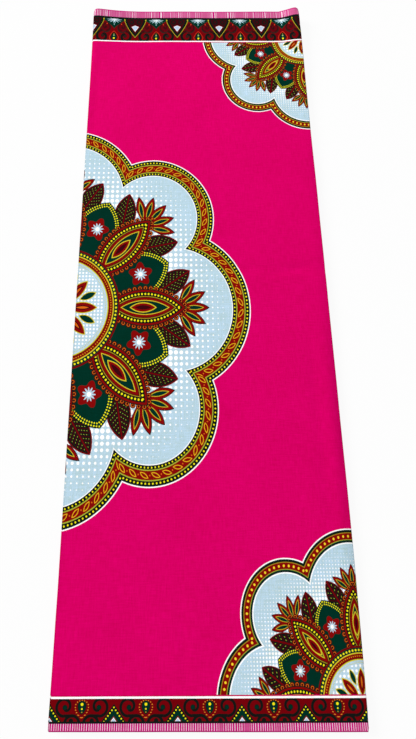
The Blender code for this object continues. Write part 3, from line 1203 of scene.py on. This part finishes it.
def near_edge(s, v):
    """The near border, printed a little askew and cut short by a dark line, and its selvedge."""
    h = NEAR_LINE - LINE_HALF - v + s * NEAR_SKEW
    paint = lay(border(PINK, s, h, "cut"), LINE_HALF - abs(h + LINE_HALF), WHITE)
    paint = lay(paint, h - NEAR_EDGE["dark"], BLACK)
    return selvedge(paint, h - NEAR_EDGE["comb"], s, v, NEAR_COMB)


def far_edge(s, v):
    """The far border, whole and a little stretched, and its selvedge."""
    h = (v - FAR_LINE - LINE_HALF) * (1 / FAR_STRETCH)
    paint = lay(border(PINK, s - 0.5, h, "full"), LINE_HALF - abs(v - FAR_LINE), WHITE)
    paint = lay(paint, h - FAR_EDGE["dark"], BLACK)
    return selvedge(paint, h - FAR_EDGE["comb"], s, CLOTH_WIDTH * 1000 - v, FAR_COMB)


def medallion_in_place(which, s, v):
    """One of the medallions where it is printed."""
    row = MEDALLIONS[which]
    return medallion(PINK, s - row["s"], (v - row["v"]) * (1 / ROUND_STRETCH), row["size"], row["frame"])


print("white lines at", NEAR_LINE, "and", FAR_LINE, "mm from the near selvedge")

# %% [markdown]
# ## Printing the cloth
#
# A shader draws one thing at each point, and a tree that held every motif would be slow and too deep for
# the renderer. Each stretch of the print is therefore a material of its own, given to the faces that lie in
# it. Neighbours draw the same pink where they meet, so no seam shows.

# %% Materials by stretch of the print
PRINTS = {
    "plain_pink": lambda s, v: white_lines(PINK, s, v),
    "near_border": near_edge,
    "far_border": far_edge,
    "large_medallion": lambda s, v: medallion_in_place("large", s, v),
    "near_medallion": lambda s, v: white_lines(medallion_in_place("near", s, v), s, v),
    "far_medallion": lambda s, v: white_lines(medallion_in_place("far", s, v), s, v),
}
cottons = {}
for name, print_of in PRINTS.items():
    cottons[name] = bpy.data.materials.new(name)
    cottons[name].use_nodes = True
    Ink.tree = cottons[name].node_tree
    along, up = cloth_places()
    cotton(print_of(along, up), along, up)
    print(name, len(Ink.tree.nodes), "nodes")

# %% Give each face its stretch
SHOWN = {
    "large_medallion": {"s": (-1.0, 0.305), "v": (0.220, 0.900)},
    "near_medallion": {"s": (0.190, 1.0), "v": (0.0, 0.245)},
    "far_medallion": {"s": (0.190, 1.0), "v": (0.880, 1.2)},
}


def stretch(s, v):
    """The print at a place on the cloth, in metres."""
    if v < BORDER_ROW:
        return "near_border"
    if v > FAR_BORDER_ROW:
        return "far_border"
    for name, box in SHOWN.items():
        if box["s"][0] < s < box["s"][1] and box["v"][0] < v < box["v"][1]:
            return name
    return "plain_pink"


order = list(cottons)
for sheet in (top_cloth, folded_plies, bottom_cloth):
    for name in order:
        sheet.data.materials.append(cottons[name])
    printed = sheet.data.uv_layers["print"].data
    for face in sheet.data.polygons:
        corners = [printed[loop].uv for loop in face.loop_indices]
        middle = sum(corners, Vector((0, 0))) / len(corners)
        face.material_index = order.index(stretch(middle.x, middle.y))
    used = {face.material_index for face in sheet.data.polygons}
    print(sheet.name, "shows", [order[index] for index in sorted(used)])

# %% [markdown]
# ## What was cut
#
# All three pieces here are stretches of one length of cloth, a selvedge width across, so each piece's flat
# length is its area divided by that width.

def cut_length(sheet):
    """How much of the cloth's length a piece takes, from the area of one of its sides."""
    depsgraph = bpy.context.evaluated_depsgraph_get()
    shown = sheet.evaluated_get(depsgraph)
    both_sides = sum(face.area for face in shown.to_mesh().polygons)
    shown.to_mesh_clear()
    return both_sides / 2 / CLOTH_WIDTH


total = 0.0
for sheet, rests_on in ((top_cloth, folded_plies), (folded_plies, bottom_cloth), (bottom_cloth, None)):
    length = cut_length(sheet)
    total += length
    print(sheet.name, "is", round(length, 3), "m of the cloth's length")
print("the whole pile holds", round(total, 2), "m")

# %% [markdown]
# ## Table and light
#
# Cloth for sale is shot from above on a white light table, which glows itself and so leaves only a thin
# shadow where the pile touches it. A wide soft light stands low on the left and shades the shoulder of the
# soft fold, and a small lamp over the far end adds the slight fall of brightness towards the near edge. The
# plain view transform is used because a filmic one would dull the pink.

# %% Light table
TABLE_REACH = 12.0
TABLE_GAP = 0.0002
ACRYLIC = {
    "Base Color": (0.05, 0.05, 0.05, 1),
    "Roughness": 0.6,
    "Specular IOR Level": 0.0,
    "Emission Color": (1, 1, 1, 1),
    "Emission Strength": 0.932,
}
table = bmesh.new()
bmesh.ops.create_grid(table, x_segments=1, y_segments=1, size=TABLE_REACH)
bmesh.ops.translate(table, verts=table.verts, vec=(0, 0, -TABLE_GAP))
light_table = finished("light_table", table)
acrylic = bpy.data.materials.new("white_acrylic")
acrylic.use_nodes = True
for socket, value in ACRYLIC.items():
    acrylic.node_tree.nodes["Principled BSDF"].inputs[socket].default_value = value
light_table.data.materials.append(acrylic)
print("light table", 2 * TABLE_REACH, "m wide")

# %% Room and lamps
ROOM_LIGHT = 0.455
studio = bpy.data.worlds.new("studio")
studio.use_nodes = True
background = studio.node_tree.nodes["Background"].inputs
background["Color"].default_value = (1, 1, 1, 1)
background["Strength"].default_value = ROOM_LIGHT
bpy.context.scene.world = studio
bpy.context.scene.view_settings.view_transform = "Standard"


def soft_light(name, size, watts, location, aim):
    """A square soft light that faces a place."""
    data = bpy.data.lights.new(name, "AREA")
    data.size = size
    data.energy = watts
    lamp = link(name, data)
    lamp.location = location
    lamp.rotation_euler = (Vector(aim) - lamp.location).to_track_quat("-Z", "Y").to_euler()
    print(name, size, "m wide,", watts, "W,", round(lamp.location.length, 1), "m away")


soft_light("low_softbox", size=6.0, watts=2780.0, location=(-10.9, 5.6, 6.8), aim=(0, 0, 0))
soft_light("far_lamp", size=0.35, watts=0.19, location=(-0.07, 0.60, 0.45), aim=(-0.07, 0.60, 0))
print("room light", ROOM_LIGHT)

# %% [markdown]
# ## Camera
#
# The camera looks down at about 72 degrees from above the near end, close enough that the far end narrows.
# Its place was worked out from the four corners of the pile, whose sizes are known.

# %% Camera
CAMERA_PLACE = (-0.0407, -0.37364, 0.76457)
CAMERA_TILT = 18.282
camera_data = bpy.data.cameras.new("camera")
camera_data.lens = 26.306
camera_data.shift_x = 0.04354
camera = link("camera", camera_data)
camera.location = CAMERA_PLACE
camera.rotation_euler = (math.radians(CAMERA_TILT), 0, 0)
bpy.context.scene.camera = camera
print("camera", round(CAMERA_PLACE[2], 3), "m up, looking down at", 90 - CAMERA_TILT, "degrees")
